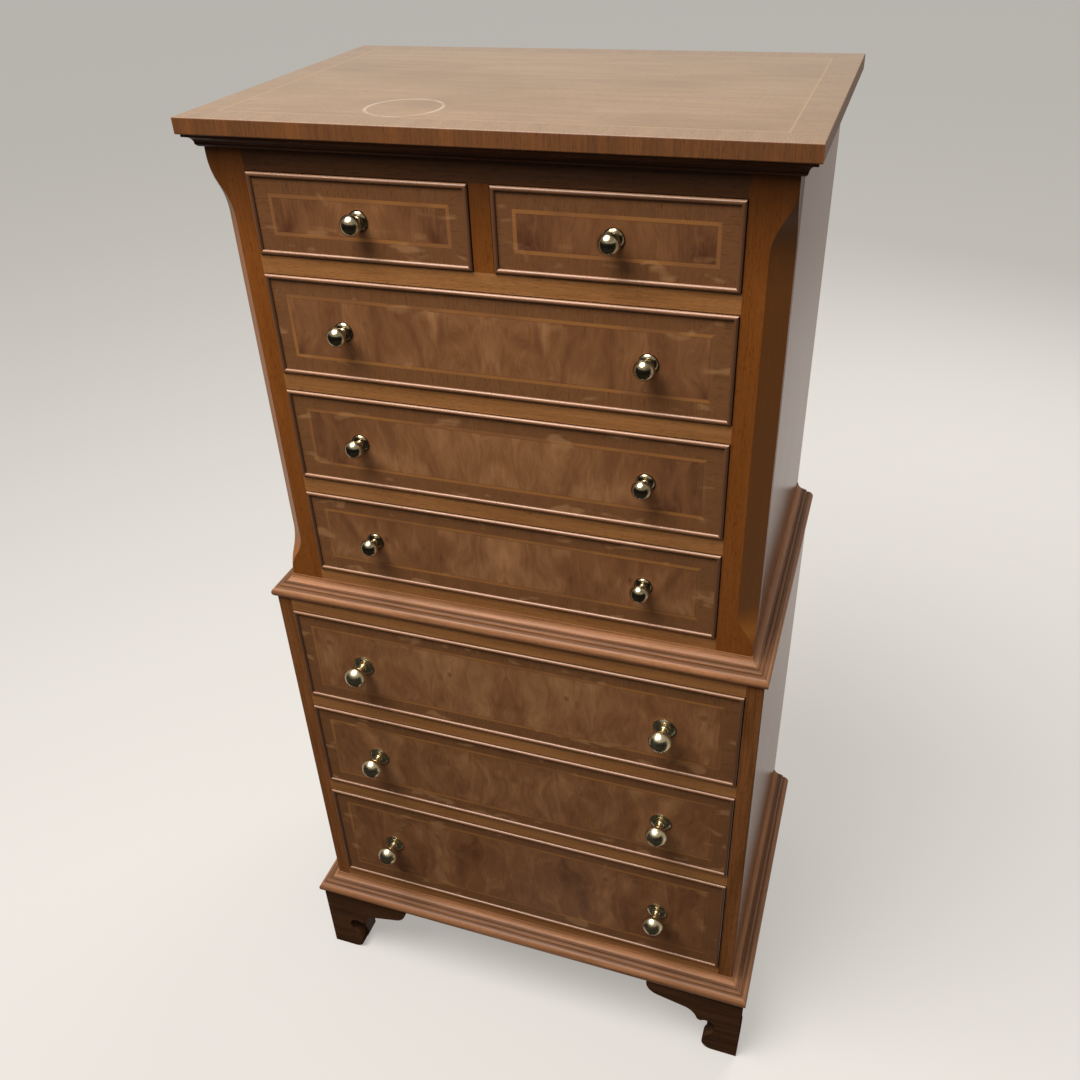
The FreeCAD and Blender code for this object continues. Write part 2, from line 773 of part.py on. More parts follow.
block_x = (outer_x - S.foot_thickness - S.block_width, outer_x - S.foot_thickness)
block_z = (S.block_lift, lower_foot)
block_ys = ((outer_front + S.foot_thickness, outer_front + S.foot_thickness + S.block_width),
            (back - S.foot_thickness - S.block_width, back - S.foot_thickness))
glue_blocks = [board(f"glue_block_{n}{hand}", x, y, block_z)
               for n, y in enumerate(block_ys, 1) for hand, x in zip("rl", both(*block_x))]
node(group("glue_block_group", glue_blocks), "glue_blocks")


# ---- drawers -------------------------------------------------------------------------------------
# A drawer is drawn about the middle of its opening: y = 0 is the case's face, z = 0 the sill.

def bead_strip(name, corners, lengthways):
    """One strip of cock bead, mitred at both ends, with a rounded nose."""
    body = new_body(name)
    strip = pad(body, outline(body, f"{name}_face", "XZ_Plane", corners), S.bead_proud + S.bead_rebate,
                reverse=True)

    def nose_arris(edge):
        box = edge.BoundBox
        across = box.ZLength if lengthways == "x" else box.XLength
        return box.YMax < 0.01 and across < 0.01

    round_edges(body, strip, S.bead_rounding, nose_arris)
    return put_at(body, y=-S.bead_proud)


def cock_bead(name, half, low, high):
    thick = S.bead_thickness
    ring = [(-half, low), (half, low), (half, high), (-half, high)]
    inner = [(-half + thick, low + thick), (half - thick, low + thick),
             (half - thick, high - thick), (-half + thick, high - thick)]
    strips = []
    for n, (side, way) in enumerate(zip(("bottom", "right", "top", "left"), "xzxz")):
        after = (n + 1) % 4
        strips.append(bead_strip(f"{name}_bead_{side}", [ring[n], ring[after], inner[after], inner[n]], way))
    return group(f"{name}_beads", strips)


def front_blank(name, half, low, high):
    """The drawer front, rebated all round for its bead."""
    body = new_body(f"{name}_front_blank")
    edge = S.bead_thickness
    pad(body, outline(body, f"{name}_front_face", "XZ_Plane", rectangle((-half, half), (low, high))),
        S.front_thickness, reverse=True)
    rebate = body.newObject("PartDesign::Pocket", f"{name}_bead_rebate")
    rebate.Profile = outline(body, f"{name}_bead_line", "XZ_Plane",
                             rectangle((-half - 1, half + 1), (low - 1, high + 1)),
                             rectangle((-half + edge, half - edge), (low + edge, high - edge)))
    bind(rebate, "Length", S.bead_rebate)
    return body


def tail_count(height):
    return max(2, round(height.value / S.tail_pitch.value))


def drawer_side(name, half, low, head, length, height):
    """The right side of a drawer, with the dovetails at its front end that the drawer front is cut for."""
    body = new_body(name)
    shoulder, end = S.front_thickness, S.front_thickness - S.tail_length
    count = tail_count(height)
    pitch = (head - low) / count
    corners = [(length, S.runner_play), (length, head), (shoulder, head)]
    for n in reversed(range(count)):
        foot = low + pitch * (n + 0.2)
        top = low + pitch * (n + 0.8)
        corners += [(shoulder, top), (end, top + S.tail_flare), (end, foot - S.tail_flare), (shoulder, foot)]
    corners.append((shoulder, S.runner_play))
    pad(body, outline(body, f"{name}_side", "YZ_Plane", corners), S.drawer_side, reverse=True)
    return put_at(body, x=half)


def knob(name, x, z, case):
    """A turned knob: rose, waisted neck and mushroom head, bored for its bolt. The case picks its size."""
    reach, rose, neck, neck_length, head = [
        getattr(S, case + size)
        for size in ("knob_reach", "rose_radius", "neck_radius", "neck_length", "head_radius")]
    body = new_body(name)
    head_foot = S.rose_height + neck_length
    girth = (head_foot + reach) / 2 - S.head_girth_drop
    dome = reach - girth
    round_dome = (head * head + dome * dome) / (2 * dome)
    section = outline(body, f"{name}_section", "XY_Plane", [
        (S.bolt_radius, 0), (rose, 0), (rose, -S.rose_rim), (rose - S.rose_step, -S.rose_rim, neck - rose),
        (neck + S.rose_bead, -S.rose_height, S.rose_bead * 1.6), (neck, -S.rose_height - S.rose_bead * 1.3),
        (neck, S.head_collar * 0.7 - head_foot, S.head_collar * 1.4),
        (neck + S.head_collar, -head_foot, -head * 0.75),
        (head, -girth, -round_dome), (0, -reach), (0, -S.bolt_depth), (S.bolt_radius, -S.bolt_depth)])
    turned = body.newObject("PartDesign::Revolution", f"{name}_turned")
    turned.Profile = section
    turned.ReferenceAxis = (section, ["V_Axis"])
    return put_at(body, x, 0, z)


def knob_bolt(name, x, z):
    """The bolt that holds the knob from inside the drawer."""
    body = new_body(name)
    inside = S.front_thickness
    bevel = 0.6
    section = outline(body, f"{name}_section", "XY_Plane", [
        (0, -S.bolt_depth), (S.bolt_radius, -S.bolt_depth), (S.bolt_radius, inside),
        (S.bolt_head_radius, inside), (S.bolt_head_radius - bevel, inside + S.bolt_head_height),
        (0, inside + S.bolt_head_height)])
    turned = body.newObject("PartDesign::Revolution", f"{name}_turned")
    turned.Profile = section
    turned.ReferenceAxis = (section, ["V_Axis"])
    return put_at(body, x, 0, z)


def bolt_hole(name, x, z):
    drill = doc.addObject("Part::Cylinder", name)
    bind(drill, "Radius", S.bolt_radius + S.bolt_play)
    bind(drill, "Height", S.front_thickness + 2)
    drill.Placement.Rotation = FreeCAD.Rotation(FreeCAD.Vector(1, 0, 0), -90)
    return put_at(drill, x, -1, z)


def drawer(name, centre, front, sill, clear, height, depth, knob_places, case=""):
    """A drawer for an opening of half width clear. It goes into four nodes: front, cock_bead, box, knobs."""
    half = clear - S.drawer_gap
    low, high = S.drawer_gap, height - S.drawer_gap
    head = height - S.side_drop
    length = depth - S.back_thickness - S.drawer_back_room
    inside = half - S.drawer_side
    middle = height / 2

    right = drawer_side(f"{name}_side_right", half, low, head, length, height)
    left = mirrored(right, f"{name}_side_left")
    floor = board(f"{name}_floor", (-inside - S.groove_depth, inside + S.groove_depth),
                  (S.front_thickness - S.groove_depth, length),
                  (S.floor_height, S.floor_height + S.floor_thickness))
    rear = board(f"{name}_rear", (-inside, inside), (length - S.drawer_back, length),
                 (S.floor_height + S.floor_thickness, head - S.back_drop))
    holes = [bolt_hole(f"{name}_hole_{n}", x, middle) for n, x in enumerate(knob_places, 1)]
    front_piece = cut(f"{name}_front_cut", front_blank(name, half, low, high), [right, left, floor] + holes)
    grooved = cut(f"{name}_sides_cut", group(f"{name}_sides", [right, left]), [floor])
    knobs = []
    for n, x in enumerate(knob_places, 1):
        knobs += [knob(f"{name}_knob_{n}", x, middle, case), knob_bolt(f"{name}_bolt_{n}", x, middle)]
    pieces = {
        "front": front_piece,
        "cock_bead": cock_bead(name, half, low, high),
        "box": group(f"{name}_carcase", [grooved, rear, floor]),
        "knobs": group(f"{name}_knob_group", knobs),
    }
    for part, piece in pieces.items():
        put_at(group(f"{name}_{part}_placed", [piece]), centre, front, sill)
        node(doc.getObject(f"{name}_{part}_placed"), f"{name}_{part}")


upper_knobs = (-(upper_clear - S.knob_inset), upper_clear - S.knob_inset)
lower_knobs = (-(lower_inner - S.lower_knob_inset), lower_inner - S.lower_knob_inset)
lower_depth = S.upper_depth + S.case_step

drawer("short_drawer_left", -short_centre, upper_front, short_sill, short_half, S.short_opening,
       S.upper_depth, [as_size(0)])
drawer("short_drawer_right", short_centre, upper_front, short_sill, short_half, S.short_opening,
       S.upper_depth, [as_size(0)])
for level, sill in (("top", long_1), ("middle", long_2), ("bottom", long_3)):
    drawer(f"upper_drawer_{level}", 0, upper_front, sill, upper_clear, S.upper_opening, S.upper_depth,
           upper_knobs)
for level, sill, height in (("top", bottom_1, S.lower_opening_top),
                            ("middle", bottom_2, S.lower_opening_middle),
                            ("bottom", bottom_3, S.lower_opening_bottom)):
    drawer(f"lower_drawer_{level}", 0, lower_front, sill, lower_inner, height, lower_depth, lower_knobs,
           "lower_")


# ---- check and write -----------------------------------------------------------------------------

doc.recompute()
faults = [thing.Label for thing in doc.Objects if "Invalid" in thing.State or "Error" in thing.State]
if faults:
    raise RuntimeError(f"these features failed: {faults}")
for thing in NODES:
    if thing.Shape.isNull() or not thing.Shape.isValid():
        raise RuntimeError(f"{thing.Label}: no valid shape")

os.makedirs("parts", exist_ok=True)
for thing in NODES:
    thing.Shape.exportStep(f"parts/{thing.Label}.step")
print(len(NODES), "nodes,", sum(len(thing.Shape.Solids) for thing in NODES), "solids")
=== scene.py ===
import json
import math
from functools import partial

import bmesh
import bpy
from bpy.props import FloatProperty, FloatVectorProperty, PointerProperty
from mathutils import Euler, Matrix, Vector

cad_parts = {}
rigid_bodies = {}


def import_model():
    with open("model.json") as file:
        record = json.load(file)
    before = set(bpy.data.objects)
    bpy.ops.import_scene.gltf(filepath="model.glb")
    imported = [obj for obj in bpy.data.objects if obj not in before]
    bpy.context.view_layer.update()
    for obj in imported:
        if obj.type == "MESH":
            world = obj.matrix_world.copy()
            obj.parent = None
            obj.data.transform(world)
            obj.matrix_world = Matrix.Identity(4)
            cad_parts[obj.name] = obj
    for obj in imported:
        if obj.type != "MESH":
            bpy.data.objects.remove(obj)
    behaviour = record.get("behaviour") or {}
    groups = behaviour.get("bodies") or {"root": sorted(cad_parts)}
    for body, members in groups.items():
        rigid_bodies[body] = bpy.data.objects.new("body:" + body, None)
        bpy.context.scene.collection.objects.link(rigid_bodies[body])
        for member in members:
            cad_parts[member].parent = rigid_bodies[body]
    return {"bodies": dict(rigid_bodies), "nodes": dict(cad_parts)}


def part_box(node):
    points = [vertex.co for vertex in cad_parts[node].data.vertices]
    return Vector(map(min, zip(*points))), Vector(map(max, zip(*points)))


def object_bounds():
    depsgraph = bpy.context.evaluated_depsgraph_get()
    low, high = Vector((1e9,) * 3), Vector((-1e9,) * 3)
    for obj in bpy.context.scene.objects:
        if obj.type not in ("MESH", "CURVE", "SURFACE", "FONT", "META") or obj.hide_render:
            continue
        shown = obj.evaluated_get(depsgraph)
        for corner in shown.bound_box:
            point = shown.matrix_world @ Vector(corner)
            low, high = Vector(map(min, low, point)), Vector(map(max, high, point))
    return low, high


# Finishes for the solids of a walnut chest on chest, and a plain studio to view it in. Metres, X to the
# right, the drawers face -Y, Z up.

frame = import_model()
CAD_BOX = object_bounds()

bl_info = {
    "name": "Walnut Chest on Chest",
    "version": (1, 0, 0),
    "blender": (4, 5, 0),
    "location": "View3D > Sidebar > Chest",
    "description": "Veneers, polish and brass for a chest on chest, with a plain studio to view it in",
    "category": "Object",
}

MM = 0.001
DRAWERS = sorted(name for name in frame["bodies"] if name != "case")


# ---- colours and sizes that a user would change --------------------------------------------------

def paint(code):
    """The linear colour of an sRGB hex code."""
    parts = [int(code[at:at + 2], 16) / 255 for at in (1, 3, 5)]
    return [part / 12.92 if part <= 0.04045 else ((part + 0.055) / 1.055) ** 2.4 for part in parts] + [1.0]


def colour_setting(name, description, code):
    return FloatVectorProperty(name=name, description=description, default=paint(code), size=4, min=0,
                               max=1, subtype="COLOR")


def length_setting(name, description, millimetres):
    return FloatProperty(name=name, description=description, default=millimetres * MM, min=0, unit="LENGTH",
                         subtype="DISTANCE")


class ChestVeneers(bpy.types.PropertyGroup):
    """Widths of the bands and inlays that are laid into the show surfaces."""
    crossband: length_setting("Drawer crossband", "Width of the cross-grained band round a drawer front",
                              19)
    feather: length_setting("Feather line", "Width of the feather banding inside the crossband", 3.6)
    top_crossband: length_setting("Top crossband", "Width of the cross-grained border of the top", 29)
    top_line: length_setting("Top line", "Width of the inlaid line inside the border of the top", 1.6)
    fibre: length_setting("Fibre", "Width of the dark fibres in straight walnut", 1.3)
    figure: length_setting("Figure", "Width of the waves in figured walnut", 9)
    pore: length_setting("Pore", "Width of a pore, drawn coarser than the real 0.2 mm so that it shows",
                         0.45)


class ChestColours(bpy.types.PropertyGroup):
    """Colours of the woods and metals."""
    figured_light: colour_setting("Figured, light", "Light waves of the drawer veneer", "#966A44")
    figured_mid: colour_setting("Figured, middle", "Ground of the drawer veneer", "#744B2C")
    figured_dark: colour_setting("Figured, dark", "Dark waves and knots of the drawer veneer", "#4C2B1A")
    band_light: colour_setting("Crossband, light", "Light fibres of the drawer crossband", "#744B2B")
    band_dark: colour_setting("Crossband, dark", "Dark fibres of the drawer crossband", "#5F3D23")
    feather_light: colour_setting("Feather, light", "Light half of the feather banding", "#946233")
    feather_dark: colour_setting("Feather, dark", "Dark half of the feather banding", "#643C1F")
    rubbed: colour_setting("Rubbed", "Polish worn pale along the feather banding", "#A97C52")
    rail_light: colour_setting("Rails, light", "Light fibres of the rails", "#9C683A")
    rail_dark: colour_setting("Rails, dark", "Dark fibres of the rails", "#714824")
    post_light: colour_setting("Posts, light", "Light fibres of the posts", "#7B461C")
    post_dark: colour_setting("Posts, dark", "Dark fibres of the posts", "#67370F")
    lipping_light: colour_setting("Lipping, light", "Light fibres of the top's edge", "#6E3F16")
    lipping_dark: colour_setting("Lipping, dark", "Dark fibres of the top's edge", "#502E10")
    # Painted shade: the frieze's colours are far darker than the rails', standing in for the shadow that
    # the cornice casts; they are not a stain.
    frieze_light: colour_setting("Frieze, light", "Light fibres of the frieze, stained under the cornice",
                                 "#4A2D18")
    frieze_dark: colour_setting("Frieze, dark", "Dark fibres of the frieze", "#321C0E")
    # Painted shade: the cornice's colours are much darker than those of the other walnut mouldings,
    # standing in for the shade under the top's overhang.
    cornice_light: colour_setting("Cornice, light", "Light fibres of the cornice", "#5A341C")
    cornice_dark: colour_setting("Cornice, dark", "Dark fibres of the cornice", "#361C0E")
    moulding_light: colour_setting("Mouldings, light", "Light fibres of the mouldings", "#966441")
    moulding_dark: colour_setting("Mouldings, dark", "Dark fibres of the mouldings", "#5C3A22")
    side_light: colour_setting("Sides, light", "Light fibres of the side veneer", "#83512D")
    side_dark: colour_setting("Sides, dark", "Dark fibres of the side veneer", "#5A3619")
    top_light: colour_setting("Top, light", "Light fibres of the top veneer", "#876B4D")
    top_dark: colour_setting("Top, dark", "Dark fibres of the top veneer", "#71563D")
    top_line: colour_setting("Top, line", "Inlaid line of the top", "#876A48")
    top_cloud: colour_setting("Top, clouds", "Dark clouds in the figure of the top", "#5C4228")
    # Painted light: no rubbing is drawn; this paler colour is laid on faces turned half aside, such as the
    # posts' cants, which the lamps leave dim.
    painted_cant_light: colour_setting("Posts, rubbed", "Rubbed cants of the posts", "#8E5A28")
    foot_light: colour_setting("Feet, light", "Light fibres of the feet", "#533624")
    foot_dark: colour_setting("Feet, dark", "Dark fibres of the feet", "#312014")
    bead_light: colour_setting("Beads, light", "Light fibres of the cock beads", "#80563A")
    bead_dark: colour_setting("Beads, dark", "Dark fibres of the cock beads", "#54351F")
    # Stain and painted shade: the blocks are stained dark with age, and darker still as painted shade,
    # standing in for the shadow inside the feet.
    block_light: colour_setting("Blocks, light", "Light fibres of the stained glue blocks", "#64422A")
    block_dark: colour_setting("Blocks, dark", "Dark fibres of the stained glue blocks", "#452A18")
    # Painted shade: this dark colour is laid in the quirks of the mouldings and at the foot of the beads,
    # standing in for the shade in those creases, not for polish or dust.
    quirk: colour_setting("Quirks", "Polish and dust gathered in quirks and at the foot of the beads",
                          "#2C190D")
    # Painted highlight: this paler colour is laid on faces that turn up, standing in for the overhead light
    # on beads and mouldings, rather than for worn polish.
    worn: colour_setting("Worn", "Polish worn pale on the upper edges of beads and mouldings", "#A87A58")
    oak_light: colour_setting("Oak, light", "Light fibres of the drawer linings", "#C4A070")
    oak_dark: colour_setting("Oak, dark", "Dark fibres of the drawer linings", "#95703F")
    pine_light: colour_setting("Pine, light", "Light fibres of the inner timber", "#C8A26B")
    pine_dark: colour_setting("Pine, dark", "Dark fibres of the inner timber", "#A0763F")
    ply_light: colour_setting("Plywood, light", "Light fibres of the backs and bottoms", "#B48A57")
    ply_dark: colour_setting("Plywood, dark", "Dark fibres of the backs and bottoms", "#8C6234")
    brass: colour_setting("Brass", "Lacquered brass of the knobs", "#D2C4A0")
    brass_aged: colour_setting("Brass, aged", "Brown bloom in the hollows of the knobs", "#5C4830")
    steel: colour_setting("Steel", "Screws and panel pins", "#8E8E8C")
    floor: colour_setting("Floor", "Studio floor as it is seen", "#E0DBD4")
    floor_bounce: colour_setting("Floor, bounce", "Studio floor as it lights the piece from below",
                                 "#62605E")
    backdrop: colour_setting("Backdrop", "The room beyond the floor", "#BFBAB3")
    screen: colour_setting("Screen", "Dark screen that polished metal mirrors", "#15130F")


class ChestStudio(bpy.types.PropertyGroup):
    """Camera and light."""
    focal_length: FloatProperty(name="Focal length", description="Lens on a 36 mm wide sensor, in mm",
                                default=34.47, min=1, unit="CAMERA")
    heading: FloatProperty(name="Heading", description="Turn of the camera from +Y towards +X",
                           default=math.radians(-20.246), subtype="ANGLE")
    tilt: FloatProperty(name="Tilt", description="Rise of the camera's view above the horizon",
                        default=math.radians(-34.082), subtype="ANGLE")
    roll: FloatProperty(name="Roll", description="Turn of the camera about its own axis",
                        default=math.radians(-2.561), subtype="ANGLE")
    place: FloatVectorProperty(name="Place", description="Where the camera stands",
                               default=(0.3464, -0.9808, 1.3663), subtype="TRANSLATION", unit="LENGTH")
    key_power: FloatProperty(name="Key power", description="Power of the overhead lamp, in watts",
                             default=121, min=0, unit="POWER")
    back_power: FloatProperty(name="Back power", description="Power of the soft lamp behind, in watts",
                              default=40, min=0, unit="POWER")
    fill_level: FloatProperty(name="Fill level", description="Strength of the even light of the room",
                              default=0.29, min=0)
    floor_glow: FloatProperty(name="Floor glow", description="Strength of the glow that evens the floor",
                              default=0.85, min=0)
    floor_evenness: FloatProperty(name="Floor evenness", default=0.6, min=0, max=1,
                                  description="Share of the glow in the floor's look")


# ---- node trees ----------------------------------------------------------------------------------

def fill(node, sockets):
    """Give a node's sockets their values, by name or number. Another node's output is linked."""
    for name, value in sockets.items():
        if isinstance(value, bpy.types.NodeSocket):
            node.id_data.links.new(value, node.inputs[name])
        else:
            node.inputs[name].default_value = value


def add_node(tree, kind, *terms, output=0, stops=(), **settings):
    """One node with its settings and links. The kind may name the operation or data type too, as in
    "Math ADD" or "Mix RGBA". The terms fill the sockets that are then in use, in their order, and stops are
    the (place, colour) pairs of a ramp. Gives the output in use of that number, or all where it is None."""
    kind, _, choice = kind.partition(" ")
    node = tree.nodes.new(f"ShaderNode{kind}")
    if choice:
        settings["data_type" if kind == "Mix" else "operation"] = choice
    for name, value in settings.items():
        setattr(node, name, value)
    for _ in stops[2:]:
        node.color_ramp.elements.new(0.5)
    for number, (place, colour) in enumerate(stops):
        node.color_ramp.elements[number].position = place
        node.color_ramp.elements[number].color = colour
    in_use = [number for number, socket in enumerate(node.inputs) if socket.enabled]
    fill(node, dict(zip(in_use, terms)))
    return node.outputs if output is None else [each for each in node.outputs if each.enabled][output]


def new_material(name):
    """A material, the function that adds a node to it, and its shader."""
    material = bpy.data.materials.new(name)
    material.use_nodes = True
    add = partial(add_node, material.node_tree)
    return material, add, material.node_tree.nodes["Principled BSDF"]


# ---- patterns ------------------------------------------------------------------------------------

def point_on_piece(add):
    """The point in metres, and its X, Y and Z."""
    point = add("TexCoord", output=None)["Object"]
    return point, *add("SeparateXYZ", point, output=None)


def facing(add):
    """How far the surface is turned towards X, Y and Z, from -1 to 1."""
    return add("SeparateXYZ", add("NewGeometry", output=None)["Normal"], output=None)


def pattern(add, point, along, length, width, shift=(0, 0, 0), detail=3.0, roughness=0.55, distortion=0.0,
            output=0):
    """Soft random patches, length mm long along the named axis and width mm across it."""
    sizes = [length if axis == along else width for axis in "XYZ"]
    scaled = add("Mapping", point, shift, (0, 0, 0), [1 / (size * MM) for size in sizes])
    scale, lacunarity = 1.0, 2.0
    return add("TexNoise", scaled, scale, detail, roughness, lacunarity, distortion, output=output)


def turn_grain(add, point, axis, where):
    """The point, turned a quarter about the axis where it is 1, so that the grain runs across there."""
    quarter = [math.pi / 2 if name == axis else 0 for name in "XYZ"]
    return add("Mix VECTOR", where, point, add("Mapping", point, (0, 0, 0), quarter))


def place_on_front(add, x, z, low, high):
    """Where a point lies on a front with these corners: across and up from its middle, in from the nearer
    side and the nearer end, and 1 where the side is nearer, so that a mitred border stands upright."""
    middle, half = (low + high) / 2, (high - low) / 2
    across = add("Math SUBTRACT", x, middle.x)
    up = add("Math SUBTRACT", z, middle.z)
    from_side = add("Math SUBTRACT", half.x, add("Math ABSOLUTE", across))
    from_end = add("Math SUBTRACT", half.z, add("Math ABSOLUTE", up))
    return across, up, from_side, from_end, add("Math LESS_THAN", from_side, from_end)


def paint_top_highlight(add, shade, amount):
    """The shade, painted paler on what faces up: a painted highlight standing in for the overhead light."""
    steep, level = 0.15, 0.85
    rubbed = add("MapRange", facing(add)[2], steep, level, 0.0, amount)
    return add("Mix RGBA", rubbed, shade, bpy.context.scene.chest_colours.worn)


def fibres(add, point, along, wood, seed, contrast=1.0):
    """Straight walnut: dark fibres a millimetre or so wide in broader bands of tone. The wood is the name
    of its two colours in the settings. Gives the colour, the height of the surface with its pores, and
    the broad bands."""
    veneers, colours = bpy.context.scene.chest_veneers, bpy.context.scene.chest_colours
    light, dark = getattr(colours, f"{wood}_light"), getattr(colours, f"{wood}_dark")
    fibre, pore = veneers.fibre / MM, veneers.pore / MM
    shift = (seed, seed * 1.7, seed * 0.6)
    fine = pattern(add, point, along, fibre * 45, fibre, shift, 4, 0.6)
    broad = pattern(add, point, along, fibre * 130, fibre * 10, shift, 3, 0.5, 0.4)
    tone = add("Math ADD", add("Math MULTIPLY", fine, 0.55), add("Math MULTIPLY", broad, 0.45))
    shade = add("ValToRGB", tone, stops=((0.5 - 0.16 * contrast, dark), (0.5 + 0.14 * contrast, light)))
    dots = pattern(add, point, along, pore * 16, pore, shift, 1, 0.5)
    pore_rim, pore_floor = 0.59, 0.69
    hole = add("MapRange", dots, pore_rim, pore_floor, interpolation_type="SMOOTHSTEP")
    shade = add("Mix RGBA", add("Math MULTIPLY", hole, 0.45), shade, dark, blend_type="MULTIPLY")
    return shade, add("Math SUBTRACT", add("Math MULTIPLY", fine, 0.3), hole), broad


def figured(add, point, seed, lift):
    """Figured walnut: soft clouds of tone up the sheet, fine fibres through them, and a few small knots.
    A lift makes it paler. Gives its colour, its height and its clouds."""
    veneers, colours = bpy.context.scene.chest_veneers, bpy.context.scene.chest_colours
    wave = veneers.figure / MM
    shift = (seed * 3.1, seed, seed * 5.3)
    swing = (0.05, 0.0, 0.05)
    drift = pattern(add, point, "Z", wave * 9, wave * 5, shift, 2, 0.5, output=1)
    swung = add("VectorMath MULTIPLY_ADD", add("VectorMath SUBTRACT", drift, (0.5, 0.5, 0.5)), swing, point)
    clouds = pattern(add, swung, "Z", wave * 7, wave * 3, shift, 4, 0.5, 0.4)
    waves = pattern(add, swung, "Z", wave * 2.6, wave * 0.8, shift, 4, 0.6, 0.4)
    lines = pattern(add, swung, "Z", wave * 3, wave * 0.1, shift, 3, 0.6)
    tone = add("Math ADD", add("Math MULTIPLY", clouds, 0.55),
               add("Math ADD", add("Math MULTIPLY", waves, 0.25), add("Math MULTIPLY", lines, 0.2)))
    shade = add("ValToRGB", add("Math ADD", tone, lift), stops=(
        (0.27, colours.figured_dark), (0.5, colours.figured_mid), (0.73, colours.figured_light)))
    cell = [1 / (size * MM) for size in (wave * 4, wave * 4, wave * 4.6)]
    cells = add("TexVoronoi", add("Mapping", swung, shift, (0, 0, 0), cell), 1.0)
    knot_rim, knot_heart = 0.15, 0.04
    knotty = add("MapRange", clouds, 0.46, 0.56, interpolation_type="SMOOTHSTEP")
    knot = add("Math MULTIPLY", add("MapRange", cells, knot_rim, knot_heart), knotty)
    shade = add("Mix RGBA", add("Math MULTIPLY", knot, 0.75), shade, colours.figured_dark)
    return shade, add("Math MULTIPLY", lines, 0.5), clouds


# ---- finishes ------------------------------------------------------------------------------------

def finish_wood(add, shader, base, height, dullness, rough=0.4, specular=0.22, coat=0.0, coat_rough=0.2,
                relief=0.25, patches=1.0):
    """Polish over wood: a sealed ground, a thin clear coat, and pores that still show as fine dents. The
    sheen changes a little in patches as large as those of the dullness."""
    shiniest, dullest = rough * (1 - 0.15 * patches), rough * (1 + 0.2 * patches)
    lacquer_ior, pore_depth = 1.5, 0.1 * MM
    bump = add("Bump", relief, pore_depth)
    fill(bump.node, {"Height": height})
    fill(shader, {
        "Base Color": base, "Normal": bump, "Specular IOR Level": specular,
        "Roughness": add("MapRange", dullness, 0.3, 0.7, shiniest, dullest),
        "Coat Weight": coat, "Coat Roughness": coat_rough, "Coat IOR": lacquer_ior})


def rail_walnut(name, seed):
    """Rail veneer with its grain along the rails. The frieze, the highest of them, is painted darker:
    painted shade standing in for the shadow under the cornice.
    """
    material, add, shader = new_material(name)
    point, _, _, z = point_on_piece(add)
    contrast = 1.5
    frieze_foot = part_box("short_drawer_divider")[1].z
    rail, height, tone = fibres(add, point, "X", "rail", seed, contrast)
    frieze = fibres(add, point, "X", "frieze", seed + 1, contrast)[0]
    # Painted shade: above the divider's top the frieze colours stand in for the cornice's shadow.
    shade = add("Mix RGBA", add("Math GREATER_THAN", z, frieze_foot), rail, frieze)
    finish_wood(add, shader, shade, height, tone)
    return material


def straight_walnut(name, along, wood, seed, mitre=None, contrast=1.0, worn=0.0, quirks=(), cornice_shade_heights=None,
                    cant_light=None, **finish):
    """Walnut cut along the grain, stained and French polished: fine dark fibres under a soft shine.
    With a mitre, grain runs along X in front and along Y on the returns. Painted shade lies in the quirks,
    which are given as heights, standing in for the shade in those grooves, and painted shade darkens the
    wood between two given heights, standing in for the shadow under the cornice. A paler colour given for
    the cants is painted light on faces that are turned half aside. The worn amount paints a highlight on
    faces that turn up."""
    colours = bpy.context.scene.chest_colours
    material, add, shader = new_material(name)
    point, x, y, z = point_on_piece(add)
    grain = point
    if mitre:
        half, front = mitre
        beyond_side = add("Math SUBTRACT", add("Math ABSOLUTE", x), half)
        beyond_front = add("Math SUBTRACT", front, y)
        grain = turn_grain(add, point, "Z", add("Math GREATER_THAN", beyond_side, beyond_front))
    shade, height, dullness = fibres(add, grain, along, wood, seed, contrast)
    # Painted highlight on the faces that turn up.
    if worn:
        shade = paint_top_highlight(add, shade, worn)
    # Painted light: faces turned half aside, but not the full side faces, are painted paler.
    if cant_light:
        aside, side_face, most = add("Math ABSOLUTE", facing(add)[0]), 0.9, 0.38
        on_cant = add("Math LESS_THAN", aside, side_face)
        rubbed = add("Math MULTIPLY", add("MapRange", aside, 0.25, 0.6, 0.0, most), on_cant)
        shade = add("Mix RGBA", rubbed, shade, cant_light)
    # Painted shade: between the two heights the wood darkens towards the dark frieze colour, standing in
    # for the shadow under the cornice.
    if cornice_shade_heights:
        shade = add("Mix RGBA", add("MapRange", z, *cornice_shade_heights, 0.0, 0.6), shade, colours.frieze_dark)
    # Painted shade in each quirk, standing in for the shade in the groove.
    for quirk in quirks:
        off = add("Math ABSOLUTE", add("Math SUBTRACT", z, quirk))
        quirk_shade = add("MapRange", off, 0.3 * MM, 0.8 * MM, 0.6, 0.0)
        shade = add("Mix RGBA", quirk_shade, shade, colours.quirk)
    finish_wood(add, shader, shade, height, dullness, **finish)
    return material


